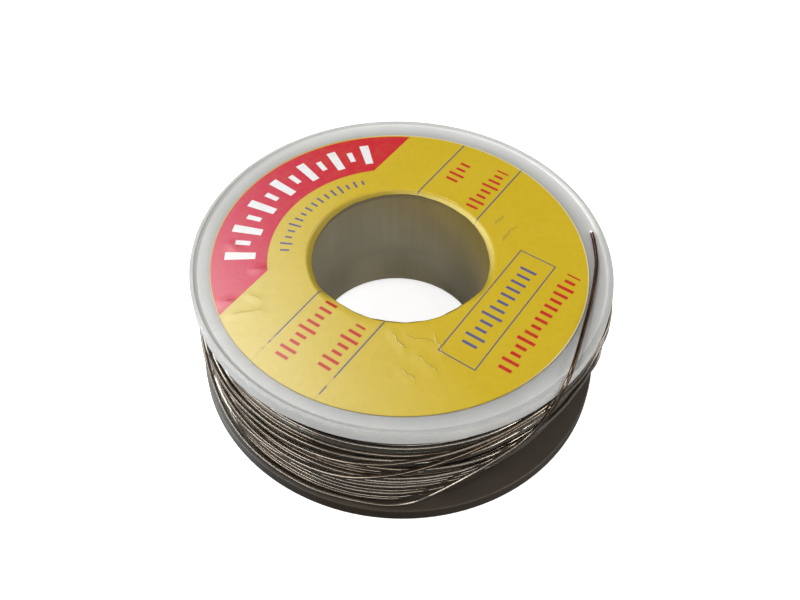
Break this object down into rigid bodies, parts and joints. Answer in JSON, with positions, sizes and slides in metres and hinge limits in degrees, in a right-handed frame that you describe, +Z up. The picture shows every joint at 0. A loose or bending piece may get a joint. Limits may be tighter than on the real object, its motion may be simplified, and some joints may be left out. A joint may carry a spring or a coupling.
{
  "type": "solder wire spool",
  "caption": "Small round reel of flux-cored solder wire: flanges on a hollow hub, ring label on one face, wire wound between them with a loose free end.",
  "frame": {"origin": "on the axis of the bore, in the plane of the lower rim that the reel stands on", "axes": "+Z up along the bore towards the labelled flange; +X to the right and +Y away when the free end of the wire is at the right of the label"},
  "size_m": [0.052, 0.052, 0.019],
  "materials": {
    "lower_plastic": "smoky translucent moulded plastic, in deep shade",
    "hub_plastic": "smoky translucent moulded plastic",
    "upper_plastic": "milky translucent moulded plastic",
    "label_paper": "coated printed paper, yellow with a red band",
    "solder_core": "dull drawn solder in the shade between turns",
    "solder_wire": "dull drawn tin alloy wire",
    "solder_tail": "dull drawn tin alloy wire, darker end",
    "rosin_flux": "amber rosin"
  },
  "bodies": {
    "root": {"lower_flange": "lower_plastic", "hub_tube": "hub_plastic", "inner_winding": "solder_core", "outer_turns": "solder_wire", "upper_flange": "upper_plastic", "top_label": "label_paper", "wire_tail": "solder_tail", "flux_core": "rosin_flux"}
  },
  "joints": []
}
